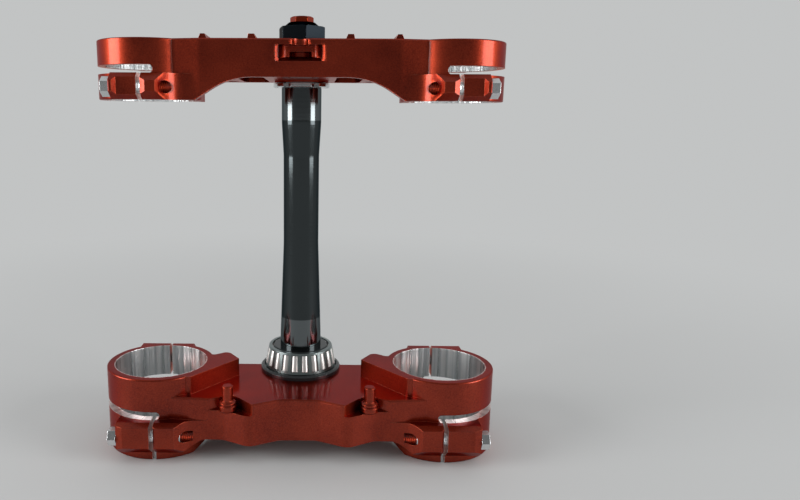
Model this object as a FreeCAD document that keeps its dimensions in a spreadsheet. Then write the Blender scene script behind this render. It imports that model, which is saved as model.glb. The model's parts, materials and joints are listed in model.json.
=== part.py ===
import FreeCAD, Part
import math
import os
from types import SimpleNamespace

import Sketcher
from FreeCAD import Rotation, Vector

# A motocross triple clamp. The steering axis is the Z axis, +X is the rider's right seen from the
# front, and the front of the motorcycle faces -Y. Z is zero at the lower end of the stem, which is
# flush with the underside of the lower plate. The heights in the table are taken from the lips of
# the lower fork rings, on which the part stands, and "out" sizes are taken from a fork's centre.
# Each clamp is modelled for one side and mirrored. Lengths are in millimetres.

SIZES = {
    # Fork tubes
    "lip_drop": 14.5,
    "fork_x": 93.0,
    "fork_back": 22.0,
    # Slots and splits of the fork rings
    "slot_width": 5.0,
    "front_split_x": 91.5,
    "front_split": 2.4,
    "rear_split": 1.6,
    "bore_relief": 0.4,
    # Lower fork rings
    "low_bore": 30.0,
    "low_ring": 35.2,
    "low_floor": 0.0,
    "low_roof": 53.5,
    "low_mid": 29.7,
    "low_slot_end": 87.5,
    "low_edge": 1.0,
    "low_lip_x": 69.4,
    "low_lip_run": 7.4,
    "low_lip_rise": 5.0,
    # Lower pinch ears
    "low_seat_x": 113.8,
    "low_ear_out": 43.5,
    "low_ear_root": 35.0,
    "low_ear_floor": 5.0,
    "low_ear_near": 4.4,
    "low_ear_far": 18.0,
    "low_ear_corner": 4.5,
    "low_corner_deep": 2.0,
    "low_ear_flat": 39.0,
    "low_waist_x": 91.5,
    "low_waist_fall": 0.0,
    "low_waist_deep": 1.4,
    "low_waist_end": 90.3,
    "low_waist_rise": 1.4,
    "low_boss_x": 77.0,
    "low_boss_lean": 1.0,
    "low_boss_round": 10.0,
    "low_tail_x": 56.9,
    "low_hole_end_x": 66.5,
    "low_bolt_out": 37.3,
    "low_bolt_off": 12.6,
    # Lower plate
    "plate_top": 41.7,
    "plate_front": 57.4,
    "plate_rear": 4.5,
    "plate_edge": 1.0,
    "plate_knee_x": 57.0,
    "plate_end_x": 81.0,
    "plate_end_front": 54.9,
    "plate_root_x": 61.0,
    "plate_root_round": 12.0,
    "plate_root_run": 16.5,
    "plate_root_drop": 11.0,
    "nose_x": 30.5,
    "nose_out": 9.4,
    "nose_inner_x": 11.5,
    "nose_outer_x": 48.0,
    "nose_tip_round": 8.0,
    "nose_foot_round": 12.0,
    "low_boss": 28.5,
    # Raised wing beside each lower ring
    "wing_tip_x": 41.4,
    "wing_tip_back": 16.8,
    "wing_end_x": 70.3,
    "wing_end_back": 52.6,
    "wing_end_round": 3.0,
    "wing_peak_x": 50.3,
    "wing_peak_back": 3.0,
    "wing_peak_round": 4.0,
    "wing_valley_x": 60.2,
    "wing_valley_back": 10.4,
    # Guide pins on the front of the lower plate
    "pin_x": 44.3,
    "pin_front": 56.8,
    "pin_shelf": 34.2,
    "collar_out": 5.65,
    "collar_tall": 4.3,
    "collar_edge": 0.8,
    "pin_flange": 5.3,
    "pin_flange_tall": 1.8,
    "pin_flange_edge": 0.5,
    "pin_tip_edge": 0.8,
    "pin_shaft": 3.45,
    "pin_flare": 1.8,
    "pin_top": 50.8,
    "pin_thread": 2.0,
    "pin_thread_long": 9.0,
    "pin_clearance": 0.6,
    "shelf_back": 54.2,
    "shelf_outer_x": 57.0,
    "shelf_inner_x": 38.0,
    "shelf_nose_x": 27.0,
    "shelf_round": 3.0,
    # Upper fork rings
    "top_bore": 27.0,
    "top_ring": 31.3,
    "top_floor": 224.2,
    "top_roof": 259.0,
    "top_mid": 241.6,
    "top_slot_end": 84.8,
    "top_edge": 0.8,
    # Upper pinch ears
    "top_seat_x": 108.0,
    "top_ear_out": 41.3,
    "top_ear_root": 35.0,
    "top_ear_floor": 224.2,
    "top_ear_near": 7.0,
    "top_ear_far": 13.0,
    "top_ear_corner": 0.5,
    "top_corner_deep": 0.5,
    "top_ear_flat": 35.5,
    "top_waist_x": 105.9,
    "top_waist_fall": 1.8,
    "top_waist_deep": 2.6,
    "top_waist_end": 91.0,
    "top_waist_rise": 3.8,
    "top_boss_x": 81.3,
    "top_boss_lean": 0.65,
    "top_boss_round": 14.0,
    "top_hole_end_x": 70.5,
    "top_bolt_out": 34.5,
    "top_bolt_off": 10.4,
    # Upper plate
    "bridge_floor": 237.4,
    "bridge_front": 50.5,
    "bridge_knee_x": 58.0,
    "bridge_end_x": 76.0,
    "bridge_end_front": 46.8,
    "bridge_rear": 20.0,
    "bridge_rear_x": 52.0,
    "bridge_rear_round": 12.0,
    "bridge_corner_x": 65.6,
    "bridge_corner_back": 15.0,
    "bridge_corner_round": 4.0,
    "bridge_web_back": 44.0,
    "bridge_root_x": 40.8,
    "bridge_root_round": 45.0,
    "bridge_root_run": 24.0,
    "bridge_root_drop": 15.4,
    "bridge_web": 4.0,
    "bridge_wall": 5.0,
    "top_boss": 17.5,
    "top_boss_floor": 236.4,
    "pocket_inner_x": 21.5,
    "pocket_outer_x": 38.0,
    "pocket_round": 4.0,
    # Ridges and holes of the handlebar mounts
    "ridge_outer_x": 60.4,
    "ridge_inner_x": 30.5,
    "ridge_tall": 5.5,
    "ridge_outer_crest": 2.6,
    "ridge_inner_crest": 3.6,
    "ridge_root": 1.0,
    "ridge_slope": 2.6,
    "ridge_front": 23.0,
    "ridge_rear": 14.0,
    "mount_x": 46.5,
    "mount_hole": 5.25,
    "mount_front": 16.0,
    "mount_rear": 5.0,
    # Notch in the front of the upper plate
    "notch_half": 12.5,
    "notch_mouth": 14.5,
    "notch_deep": 12.0,
    "notch_round": 7.0,
    "notch_web": 3.4,
    "notch_floor": 246.3,
    "notch_rise": 3.3,
    "notch_hole": 4.8,
    "notch_recess": 6.5,
    "notch_recess_tall": 3.0,
    # Steering stem
    "stem_root": 15.0,
    "stem_seat": 14.0,
    "stem_seat_top": 66.0,
    "stem_waist": 11.8,
    "stem_waist_low": 131.0,
    "stem_waist_high": 190.0,
    "stem_flare_top": 211.0,
    "stem_top_seat": 13.0,
    "stem_thread_foot": 233.0,
    "stem_neck": 12.5,
    "stem_tip": 10.0,
    "stem_tip_tall": 11.0,
    "stem_bore": 9.0,
    "stem_top_bore": 4.05,
    "stem_bore_top": 225.0,
    "stem_round": 160.0,
    "stem_flare_round": 40.0,
    "neck_clearance": 0.1,
    # Lower bearing and its seal
    "seal_out": 27.5,
    "seal_tall": 3.2,
    "seal_lip": 1.0,
    "washer_out": 25.6,
    "cone_foot": 43.0,
    "cone_tall": 16.0,
    "cone_rib": 20.8,
    "cone_rib_tall": 2.8,
    "cone_lip": 18.9,
    "cone_lip_tall": 1.6,
    "cone_edge": 0.6,
    "race_low": 18.85,
    "race_high": 17.25,
    "roller_big": 2.75,
    "roller_small": 2.45,
    "roller_long": 10.6,
    "roller_gap": 0.1,
    "cage_rise": 1.9,
    "cage_thick": 0.7,
    "cage_low": 24.3,
    "cage_high": 21.9,
    "cage_rim": 0.8,
    "cage_drop": 0.1,
    "cage_edge": 0.4,
    "window_gap": 0.15,
    "window_ease": 0.25,
    # Stem head
    "adjuster_foot": 233.3,
    "adjuster_body": 15.0,
    "adjuster_lug": 18.3,
    "adjuster_edge": 0.4,
    "adjuster_slot": 5.0,
    "lock_thick": 0.6,
    "lock_out": 16.2,
    "nut_washer_out": 17.0,
    "nut_washer_thick": 1.0,
    "nut_flats": 27.0,
    "nut_proud": 0.9,
    "nut_turn": -19.0,
    "nut_edge": 1.1,
    "cap_out": 11.9,
    "cap_top_out": 8.6,
    "cap_tall": 2.8,
    "cap_round": 0.6,
    "cap_bolt_flats": 13.0,
    "cap_bolt_tall": 3.6,
    "cap_bolt_shank": 4.0,
    "cap_bolt_long": 20.0,
    # Pinch bolts
    "bolt_shank": 3.65,
    "bolt_hole": 3.7,
    "bolt_flats": 10.0,
    "bolt_head": 5.1,
    "low_bolt_long": 40.0,
    "top_bolt_long": 24.0,
}

COUNTS = {
    "rollers": 21,
    "adjuster_lugs": 6,
}


class Size:
    """A length with the expression over the sheet that gives it."""

    def __init__(self, number, text):
        self.number = float(number)
        self.text = text

    @staticmethod
    def of(thing):
        return thing if isinstance(thing, Size) else Size(thing, f"{thing:g}")

    def join(self, sign, other, number):
        return Size(number, f"({self.text} {sign} {other.text})")

    def __add__(self, other):
        other = Size.of(other)
        return self.join("+", other, self.number + other.number)

    def __sub__(self, other):
        other = Size.of(other)
        return self.join("-", other, self.number - other.number)

    def __mul__(self, other):
        other = Size.of(other)
        return self.join("*", other, self.number * other.number)

    def __truediv__(self, other):
        other = Size.of(other)
        return self.join("/", other, self.number / other.number)

    def __radd__(self, other):
        return Size.of(other) + self

    def __rsub__(self, other):
        return Size.of(other) - self

    def __rmul__(self, other):
        return Size.of(other) * self

    def __neg__(self):
        return Size(-self.number, f"(-1 * {self.text})")


doc = FreeCAD.newDocument("TripleClamp")
sheet = doc.addObject("Spreadsheet::Sheet", "Sizes")
for row, (alias, value) in enumerate({**SIZES, **COUNTS}.items(), 1):
    sheet.set(f"A{row}", alias.replace("_", " "))
    sheet.set(f"B{row}", str(value))
    sheet.setAlias(f"B{row}", alias)
doc.recompute()

dims = SimpleNamespace(**{alias: Size(value, f"Sizes.{alias}") for alias, value in SIZES.items()})


def clamp_sizes(prefix):
    """The sizes that both clamps have, under the same names."""
    start = prefix + "_"
    return SimpleNamespace(**{a[len(start):]: getattr(dims, a) for a in SIZES if a.startswith(start)})


def level(height):
    """Height above the ring lips, as a Z coordinate."""
    return Size.of(height) - dims.lip_drop


# Building blocks

MARGIN = 10.0
FAR = 90.0
EASE = 2.0
NEAR = 0.01
HEX_STEP = 60.0
UP = Vector(0, 0, 1)
ALONG_X = Rotation(Vector(0, 1, 0), 90)
ALONG_Y = Rotation(Vector(1, 0, 0), -90)
UPRIGHT = Rotation(Vector(1, 0, 0), 90)


def bind(thing, path, value):
    thing.setExpression(path, Size.of(value).text)


def place(thing, x=0, y=0, z=0, turn=None):
    if turn is not None:
        thing.Placement = FreeCAD.Placement(Vector(0, 0, 0), turn)
    for axis, value in (("x", x), ("y", y), ("z", z)):
        bind(thing, f"Placement.Base.{axis}", value)


def cylinder(name, radius, length, x=0, y=0, z=0, turn=None):
    """A cylinder that starts at the point and runs up, or along the turned axis."""
    solid = doc.addObject("Part::Cylinder", name)
    bind(solid, "Radius", radius)
    bind(solid, "Height", length)
    place(solid, x, y, z, turn)
    return solid


def cone(name, low, high, length, x=0, y=0, z=0, turn=None):
    solid = doc.addObject("Part::Cone", name)
    bind(solid, "Radius1", low)
    bind(solid, "Radius2", high)
    bind(solid, "Height", length)
    place(solid, x, y, z, turn)
    return solid


def box(name, x, y, z):
    """A box between two limits along each axis."""
    solid = doc.addObject("Part::Box", name)
    for side, (low, high) in (("Length", x), ("Width", y), ("Height", z)):
        bind(solid, side, high - low)
    place(solid, x[0], y[0], z[0])
    return solid


def hexagon(name, flats, length, x=0, y=0, z=0, turn=None):
    solid = doc.addObject("Part::Prism", name)
    solid.Polygon = 6
    bind(solid, "Circumradius", flats / math.sqrt(3))
    bind(solid, "Height", length)
    place(solid, x, y, z, turn)
    return solid


def fuse(name, *shapes):
    joined = doc.addObject("Part::MultiFuse", name)
    joined.Shapes = list(shapes)
    joined.Refine = True
    return joined


def common(name, *shapes):
    shared = doc.addObject("Part::MultiCommon", name)
    shared.Shapes = list(shapes)
    return shared


def cut(name, base, *tools):
    result = doc.addObject("Part::Cut", name)
    result.Base = base
    result.Tool = tools[0] if len(tools) == 1 else fuse(name + "_tools", *tools)
    result.Refine = True
    return result


def mirrored(name, source, normal=Vector(1, 0, 0)):
    copy = doc.addObject("Part::Mirroring", name)
    copy.Source = source
    copy.Normal = normal
    return copy


def moved(name, source, x=0, y=0, z=0, turn=None):
    """A linked copy of a solid, placed again."""
    copy = doc.addObject("Part::Compound", name)
    copy.Links = [source]
    place(copy, x, y, z, turn)
    return copy


def tapered_box(name, deep, low_wide, high_wide, tall, x, z, turn):
    """A box that narrows from its foot to its top, centred on a leaning axis."""
    solid = doc.addObject("Part::Wedge", name)
    for side, value in (
        ("Xmin", -deep), ("Xmax", deep), ("X2min", -deep), ("X2max", deep), ("Ymin", 0), ("Ymax", tall),
        ("Zmin", -low_wide), ("Zmax", low_wide), ("Z2min", -high_wide), ("Z2max", high_wide),
    ):
        bind(solid, side, value)
    place(solid, x, 0, z, turn * UPRIGHT)
    return solid


def edge_numbers(thing, wanted):
    """Numbers of the edges whose middle point passes the test."""
    doc.recompute()
    found = []
    for number, edge in enumerate(thing.Shape.Edges, 1):
        middle = edge.valueAt((edge.FirstParameter + edge.LastParameter) / 2)
        if wanted(middle, edge):
            found.append(number)
    return found


def on_level(point, height):
    return abs(point.z - height.number) < NEAR


def eased(kind, name, thing, radius, wanted):
    """Chamfers or fillets the edges that pass the test."""
    edges = edge_numbers(thing, wanted)
    result = doc.addObject("Part::" + kind, name)
    result.Base = thing
    result.Edges = [(number, radius.number, radius.number) for number in edges]
    return result


def origin_plane(body, role):
    return next(feature for feature in body.Origin.OriginFeatures if feature.Role == role)


def pin_point(sketch, geometry, end, u, v):
    """Fixes a point of the sketch at two sizes from its origin."""
    for axis, kind, value in ((-2, "DistanceX", Size.of(u)), (-1, "DistanceY", Size.of(v))):
        if value.text == "0":
            sketch.addConstraint(Sketcher.Constraint("PointOnObject", geometry, end, axis))
            continue
        index = sketch.addConstraint(Sketcher.Constraint(kind, -1, 1, geometry, end, value.number))
        bind(sketch, f"Constraints[{index}]", value)


def corner_arc(points, index, radius):
    """Where a round corner starts and ends, its centre, and whether it turns left."""
    corner = points[index]
    back = (points[index - 1] - corner).normalize()
    ahead = (points[(index + 1) % len(points)] - corner).normalize()
    half = back.getAngle(ahead) / 2
    reach = radius / math.tan(half)
    centre = corner + (back + ahead).normalize() * (radius / math.sin(half))
    return corner + back * reach, corner + ahead * reach, centre, back.cross(ahead).z < 0


def profile(body, role, corners, offset=0):
    """A closed outline through corners (u, v) or round corners (u, v, radius)."""
    sketch = body.newObject("Sketcher::SketchObject", body.Name + "_outline")
    sketch.AttachmentSupport = [(origin_plane(body, role), "")]
    sketch.MapMode = "FlatFace"
    bind(sketch, "AttachmentOffset.Base.z", offset)
    points = [Vector(Size.of(c[0]).number, Size.of(c[1]).number, 0) for c in corners]
    rounds = {i: Size.of(c[2]) for i, c in enumerate(corners) if len(c) > 2}
    arcs = {i: corner_arc(points, i, radius.number) for i, radius in rounds.items()}
    arrive = [arcs[i][0] if i in arcs else p for i, p in enumerate(points)]
    leave = [arcs[i][1] if i in arcs else p for i, p in enumerate(points)]
    count = len(points)
    lines = [
        sketch.addGeometry(Part.LineSegment(leave[i], arrive[(i + 1) % count]))
        for i in range(count)
    ]
    for i in range(count):
        before, after = lines[i - 1], lines[i]
        if i not in arcs:
            sketch.addConstraint(Sketcher.Constraint("Coincident", before, 2, after, 1))
            pin_point(sketch, after, 1, *corners[i][:2])
            continue
        start, end, centre, left = arcs[i]
        ends = (start, end) if left else (end, start)
        angles = [math.atan2(p.y - centre.y, p.x - centre.x) for p in ends]
        circle = Part.Circle(centre, UP, rounds[i].number)
        arc = sketch.addGeometry(Part.ArcOfCircle(circle, *angles))
        near, far = (1, 2) if left else (2, 1)
        sketch.addConstraint(Sketcher.Constraint("Tangent", before, 2, arc, near))
        sketch.addConstraint(Sketcher.Constraint("Tangent", arc, far, after, 1))
        index = sketch.addConstraint(Sketcher.Constraint("Radius", arc, rounds[i].number))
        bind(sketch, f"Constraints[{index}]", rounds[i])
        corner = sketch.addGeometry(Part.Point(points[i]), True)
        sketch.addConstraint(Sketcher.Constraint("PointOnObject", corner, 1, before))
        sketch.addConstraint(Sketcher.Constraint("PointOnObject", corner, 1, after))
        pin_point(sketch, corner, 1, *corners[i][:2])
    return sketch


def padded(name, role, corners, low, high):
    """A body padded from an outline between two limits along its plane's axis."""
    body = doc.addObject("PartDesign::Body", name)
    offset = -high if role == "XZ_Plane" else low
    pad = body.newObject("PartDesign::Pad", name + "_pad")
    pad.Profile = profile(body, role, corners, offset)
    bind(pad, "Length", high - low)
    body.Tip = pad
    return body


def turned(name, corners, x=0, y=0):
    """A body turned about an upright axis from its (radius, height) outline."""
    body = doc.addObject("PartDesign::Body", name)
    outline = profile(body, "XZ_Plane", corners)
    spin = body.newObject("PartDesign::Revolution", name + "_turn")
    spin.Profile = outline
    spin.ReferenceAxis = (outline, ["V_Axis"])
    spin.Angle = 360
    body.Tip = spin
    place(body, x, y)
    return body


# Fork rings with their pinch ears, the same on both clamps

def ring_blank(name, c):
    """The solid ring with rounded rims, at its height."""
    low, high = level(c.floor), level(c.roof)
    return turned(name, [
        (0, low), (c.ring, low, c.edge), (c.ring, high, c.edge), (0, high),
    ], dims.fork_x, -dims.fork_back)


def ear(name, c, side, face=0, tail=(0, 0)):
    """A pinch ear on the front (side -1, below the slot) or the rear (side 1, above it).

    The front one runs out into the plate's front, at its face and on to the tail.
    """
    def out(distance):
        return side * distance - dims.fork_back

    def off(height):
        return level(c.mid + side * height)

    deep = c.ear_out - c.waist_deep
    half_slot = dims.slot_width / 2
    if side < 0:
        foot_x = c.boss_x - (c.ear_out - face) * c.boss_lean
        far = c.mid - c.ear_floor
        inner = [
            (foot_x, out(face), c.boss_round),
            (tail[0], out(tail[1])),
            (tail[0], out(0)),
        ]
    else:
        far = c.roof - c.mid
        inner = [(c.boss_x, out(0))]
    plan = padded(name + "_plan", "XY_Plane", [
        (c.seat_x, out(0)),
        (c.seat_x, out(c.ear_out - c.corner_deep)),
        (c.seat_x - c.ear_corner, out(c.ear_out)),
        (c.waist_x, out(c.ear_out)),
        (c.waist_x - c.waist_fall, out(deep)),
        (c.waist_end, out(deep)),
        (c.waist_end - c.waist_rise, out(c.ear_out)),
        (c.boss_x, out(c.ear_out)),
        *inner,
    ], level(c.floor), level(c.roof))
    far_slope = (c.ear_out - c.ear_root) / (far - c.ear_far)
    near_slope = (c.ear_out - c.ear_flat) / (c.ear_near - half_slot)
    side_view = padded(name + "_side", "YZ_Plane", [
        (out(0), off(far)),
        (out(c.ear_root), off(far)),
        (out(c.ear_out + far_slope * EASE), off(c.ear_far - EASE)),
        (out(c.ear_out + near_slope * EASE), off(c.ear_near + EASE)),
        (out(c.ear_flat), off(half_slot)),
        (out(0), off(half_slot)),
    ], 0, c.seat_x + MARGIN)
    return common(name, plan, side_view)


def slot_tool(name, c):
    """The slot milled from front to back through the outer side of a ring."""
    half = dims.slot_width / 2
    end = c.slot_end + half
    front, rear = -dims.fork_back - FAR, -dims.fork_back + FAR
    z = level(c.mid)
    return fuse(
        name,
        box(name + "_straight", (end, dims.fork_x + FAR), (front, rear), (z - half, z + half)),
        cylinder(name + "_end", half, rear - front, end, front, z, ALONG_Y),
    )


def split_tools(name, c):
    """The front split of the half below the slot and the rear split of the half above it."""
    x, y, z = dims.front_split_x, -dims.fork_back, level(c.mid)
    half = dims.front_split / 2
    thin = dims.rear_split / 2
    return [
        box(name + "_front", (x - half, x + half), (y - FAR, y), (level(c.floor) - MARGIN, z)),
        box(name + "_rear", (dims.fork_x - thin, dims.fork_x + thin), (y, y + FAR),
            (z, level(c.roof) + MARGIN)),
    ]


def bolt_seats(c):
    """Y and Z of the front and the rear pinch bolt."""
    return [
        (side, -dims.fork_back + side * c.bolt_out, level(c.mid + side * c.bolt_off))
        for side in (-1, 1)
    ]


def bolt_holes(name, c):
    return [
        cylinder(f"{name}_{side + 1}", dims.bolt_hole, c.seat_x - c.hole_end_x + MARGIN,
                 c.hole_end_x, y, z, ALONG_X)
        for side, y, z in bolt_seats(c)
    ]


def fork_bore(name, c):
    """The bore, and the relief between its two gripping lands at the height of the slot."""
    low, high = level(c.floor) - MARGIN, level(c.roof) + MARGIN
    return [
        cylinder(name, c.bore, high - low, dims.fork_x, -dims.fork_back, low),
        cylinder(name + "_relief", c.bore + dims.bore_relief, dims.slot_width,
                 dims.fork_x, -dims.fork_back, level(c.mid) - dims.slot_width / 2),
    ]


# Lower clamp

low = clamp_sizes("low")
top = clamp_sizes("top")

floor = level(dims.lip_drop)
deck = level(dims.plate_top)
nose_y = -dims.plate_front - dims.nose_out
plate_plan = padded("plate_plan", "XY_Plane", [
    (0, -dims.plate_front),
    (dims.nose_inner_x, -dims.plate_front, dims.nose_foot_round),
    (dims.nose_x, nose_y, dims.nose_tip_round),
    (dims.nose_outer_x, -dims.plate_front, dims.nose_foot_round),
    (dims.plate_knee_x, -dims.plate_front),
    (dims.plate_end_x, -dims.plate_end_front),
    (dims.fork_x, -dims.fork_back),
    (dims.fork_x, dims.plate_rear),
    (0, dims.plate_rear),
], level(low.ear_floor), deck)
plate_blank = eased(
    "Chamfer", "plate_blank", plate_plan, dims.plate_edge,
    lambda p, e: on_level(p, deck) and p.y < -dims.plate_end_front.number,
)
underside = padded("plate_underside", "XZ_Plane", [
    (0, floor),
    (dims.plate_root_x, floor, dims.plate_root_round),
    (dims.plate_root_x + dims.plate_root_run, floor - dims.plate_root_drop),
    (dims.fork_x + FAR, floor - dims.plate_root_drop),
    (dims.fork_x + FAR, level(low.roof) + MARGIN),
    (0, level(low.roof) + MARGIN),
], -FAR, FAR)
plate_out = dims.plate_front - dims.fork_back
low_front_ear = ear("low_front_ear", low, -1, plate_out, (low.tail_x, plate_out))
plate_arm = common("plate_arm", fuse("plate_and_ear", plate_blank, low_front_ear), underside)
wing = padded("wing", "XY_Plane", [
    (dims.wing_tip_x, -dims.wing_tip_back),
    (dims.wing_end_x, -dims.wing_end_back, dims.wing_end_round),
    (dims.fork_x, -dims.fork_back),
    (dims.wing_valley_x + MARGIN, -dims.wing_valley_back + MARGIN),
    (dims.wing_valley_x, -dims.wing_valley_back, dims.wing_peak_round),
    (dims.wing_peak_x, -dims.wing_peak_back, dims.wing_peak_round),
], floor, level(low.roof))
lip_relief = padded("lip_relief", "XZ_Plane", [
    (0, level(-MARGIN)),
    (low.lip_x + low.lip_run * MARGIN / low.lip_rise, level(-MARGIN)),
    (low.lip_x - low.lip_run, level(low.lip_rise)),
    (0, level(low.lip_rise)),
], -FAR, FAR)
low_half = fuse(
    "low_half", plate_arm, wing,
    cut("low_ring_body", ring_blank("low_ring_blank", low), lip_relief),
    ear("low_rear_ear", low, 1),
)
shelf = level(dims.pin_shelf)
shelf_plan = padded("shelf_plan", "XY_Plane", [
    (dims.shelf_outer_x, -FAR),
    (dims.shelf_outer_x, -dims.plate_front),
    (dims.pin_x + dims.collar_out, -dims.shelf_back, dims.shelf_round),
    (dims.shelf_inner_x, -dims.shelf_back, dims.shelf_round),
    (dims.shelf_nose_x, nose_y),
    (dims.shelf_nose_x, -FAR),
], shelf, deck + MARGIN)
low_side = cut(
    "low_side", low_half,
    *fork_bore("low_fork_bore", low),
    slot_tool("low_slot", low),
    *split_tools("low_split", low),
    *bolt_holes("low_bolt_hole", low),
    shelf_plan,
    cylinder("pin_scallop", dims.collar_out + dims.pin_clearance, deck + MARGIN - shelf,
             dims.pin_x, -dims.pin_front, shelf),
    cylinder("pin_hole", dims.pin_thread, dims.pin_thread_long + MARGIN,
             dims.pin_x, -dims.pin_front, shelf - dims.pin_thread_long),
)
low_whole = fuse(
    "low_whole", low_side, mirrored("low_side_mirrored", low_side),
    cylinder("low_stem_boss", low.boss, deck - floor, 0, 0, floor),
)
lower_clamp = cut(
    "lower_clamp", low_whole,
    cylinder("low_stem_bore", dims.stem_root, deck + MARGIN + MARGIN, 0, 0, floor - MARGIN),
)

# Upper clamp

bridge_low = level(dims.bridge_floor)
roof = level(top.roof)
bridge_plan = padded("bridge_plan", "XY_Plane", [
    (0, -dims.bridge_front),
    (dims.bridge_knee_x, -dims.bridge_front),
    (dims.bridge_end_x, -dims.bridge_end_front),
    (dims.fork_x, -dims.fork_back),
    (dims.bridge_corner_x + MARGIN, 0),
    (dims.bridge_corner_x, dims.bridge_corner_back, dims.bridge_corner_round),
    (dims.bridge_rear_x, dims.bridge_rear, dims.bridge_rear_round),
    (0, dims.bridge_rear),
], level(top.ear_floor), roof)
bridge_blank = eased(
    "Chamfer", "bridge_blank", bridge_plan, dims.top_edge,
    lambda p, e: on_level(p, roof) and p.y < -dims.bridge_web_back.number,
)
front_arch = padded("bridge_front_arch", "XZ_Plane", [
    (0, bridge_low),
    (dims.bridge_root_x, bridge_low, dims.bridge_root_round),
    (dims.bridge_root_x + dims.bridge_root_run, bridge_low - dims.bridge_root_drop),
    (dims.fork_x + FAR, bridge_low - dims.bridge_root_drop),
    (dims.fork_x + FAR, roof + MARGIN),
    (0, roof + MARGIN),
], -FAR, -dims.bridge_web_back)
rear_arch = padded("bridge_rear_arch", "XZ_Plane", [
    (0, bridge_low),
    (dims.bridge_corner_x, bridge_low),
    (dims.bridge_corner_x, level(top.floor) - MARGIN),
    (dims.fork_x + FAR, level(top.floor) - MARGIN),
    (dims.fork_x + FAR, roof + MARGIN),
    (0, roof + MARGIN),
], -dims.bridge_web_back, FAR)
bridge_out = dims.bridge_front - dims.fork_back
slant = (dims.bridge_front - dims.bridge_end_front) / (dims.bridge_end_x - dims.bridge_knee_x)
lean_run = top.boss_x - dims.bridge_knee_x - top.ear_out * top.boss_lean
ear_face = (bridge_out - slant * lean_run) / (1 + slant * top.boss_lean)
top_front_ear = ear("top_front_ear", top, -1, ear_face, (dims.bridge_knee_x, bridge_out))
bridge = common(
    "bridge",
    fuse("bridge_and_ear", bridge_blank, top_front_ear),
    fuse("bridge_underside", front_arch, rear_arch),
)
pocket = padded("bridge_pocket", "XY_Plane", [
    (dims.pocket_inner_x, -dims.bridge_front + dims.bridge_wall, dims.pocket_round),
    (dims.pocket_outer_x, -dims.bridge_front + dims.bridge_wall, dims.pocket_round),
    (dims.pocket_outer_x, dims.bridge_rear - dims.bridge_wall, dims.pocket_round),
    (dims.pocket_inner_x, dims.bridge_rear - dims.bridge_wall, dims.pocket_round),
], level(top.floor) - MARGIN, roof - dims.bridge_web)


def ridge(name, x, width, inward, outward):
    """A low ridge beside a handlebar mount seat, with its two slopes."""
    crest = width / 2
    return padded(name, "XZ_Plane", [
        (x - crest - inward, roof - dims.ridge_root),
        (x + crest + outward, roof - dims.ridge_root),
        (x + crest + outward, roof),
        (x + crest, roof + dims.ridge_tall),
        (x - crest, roof + dims.ridge_tall),
        (x - crest - inward, roof),
    ], -dims.ridge_front, dims.ridge_rear)


ridges = [
    ridge("outer_ridge", dims.ridge_outer_x, dims.ridge_outer_crest, dims.ridge_slope, dims.ridge_slope),
    ridge("inner_ridge", dims.ridge_inner_x, dims.ridge_inner_crest, dims.ridge_slope, dims.ridge_slope / 2),
]
mount_holes = [
    cylinder(name, dims.mount_hole, roof + MARGIN - bridge_low + FAR, dims.mount_x, y, bridge_low - FAR)
    for name, y in (("front_mount_hole", -dims.mount_front), ("rear_mount_hole", dims.mount_rear))
]
top_half = fuse(
    "top_half", bridge, ring_blank("top_ring_blank", top), ear("top_rear_ear", top, 1), *ridges,
)
top_side = cut(
    "top_side", top_half,
    *fork_bore("top_fork_bore", top),
    slot_tool("top_slot", top),
    *split_tools("top_split", top),
    *bolt_holes("top_bolt_hole", top),
    *mount_holes,
    pocket,
)
front = -dims.bridge_front
web_low = roof - dims.notch_web
notch_plan = padded("notch_plan", "XY_Plane", [
    (-dims.notch_mouth, front - MARGIN),
    (-dims.notch_mouth, front),
    (-dims.notch_half, front + dims.notch_mouth - dims.notch_half),
    (-dims.notch_half, front + dims.notch_deep, dims.notch_round),
    (dims.notch_half, front + dims.notch_deep, dims.notch_round),
    (dims.notch_half, front + dims.notch_mouth - dims.notch_half),
    (dims.notch_mouth, front),
    (dims.notch_mouth, front - MARGIN),
], level(dims.notch_floor) - MARGIN, web_low)
notch_side = padded("notch_side", "YZ_Plane", [
    (front - MARGIN, web_low),
    (front - MARGIN, level(dims.notch_floor)),
    (front, level(dims.notch_floor)),
    (front + dims.notch_deep, level(dims.notch_floor) + dims.notch_rise),
    (front + dims.notch_deep + MARGIN, level(dims.notch_floor) + dims.notch_rise),
    (front + dims.notch_deep + MARGIN, web_low),
], -dims.notch_mouth, dims.notch_mouth)
notch = common("notch", notch_plan, notch_side)
top_whole = fuse(
    "top_whole", top_side, mirrored("top_side_mirrored", top_side),
    cylinder("top_stem_boss", top.boss, roof - level(top.boss_floor), 0, 0, level(top.boss_floor)),
)
upper_clamp = cut(
    "upper_clamp", top_whole,
    cylinder("top_stem_bore", dims.stem_neck + dims.neck_clearance, FAR,
             0, 0, level(top.boss_floor) - MARGIN),
    notch,
    cylinder("notch_recess_tool", dims.notch_recess, dims.notch_recess_tall,
             0, front + dims.notch_deep, level(dims.notch_floor) + dims.notch_rise),
    cylinder("notch_hole_tool", dims.notch_hole, FAR, 0, front, web_low - dims.notch_rise),
)

# Steering stem

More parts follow.
